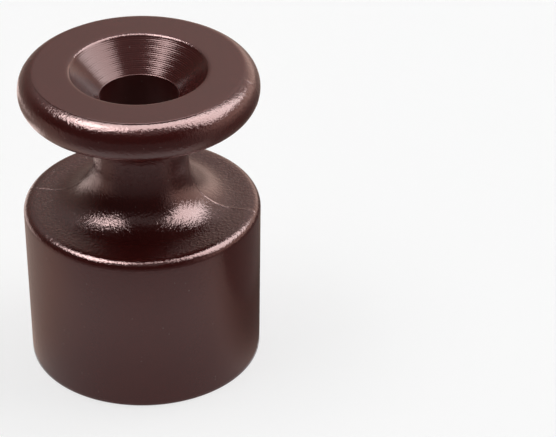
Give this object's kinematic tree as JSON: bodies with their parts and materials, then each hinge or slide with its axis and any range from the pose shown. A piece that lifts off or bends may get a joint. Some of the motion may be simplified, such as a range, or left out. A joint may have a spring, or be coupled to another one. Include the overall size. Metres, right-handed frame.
{
  "type": "knob insulator",
  "caption": "Moulded plastic knob insulator for surface wiring, with a grooved neck for twisted cable, a hollow base and a countersunk bore for its fixing screw.",
  "frame": {"origin": "where the fixing screw's axis meets the mounting surface, in the plane of the base's foot", "axes": "+Z along the axis, from the mounting surface to the top face; +X lies in the mould's parting plane"},
  "size_m": [0.0184, 0.0184, 0.0455],
  "materials": {
    "brown_plastic": "satin to glossy dark brown moulded plastic with a fine orange-peel surface; matt on the top face",
    "screw_steel": "plain zinc-plated steel"
  },
  "bodies": {
    "insulator": {"insulator_body": "brown_plastic"},
    "screw": {"fixing_screw": "screw_steel"}
  },
  "joints": [
    {"name": "screw_travel", "type": "slide", "parent": "insulator", "child": "screw", "axis": [0, 0, 1], "range_m": [0, 0.0205]}
  ]
}
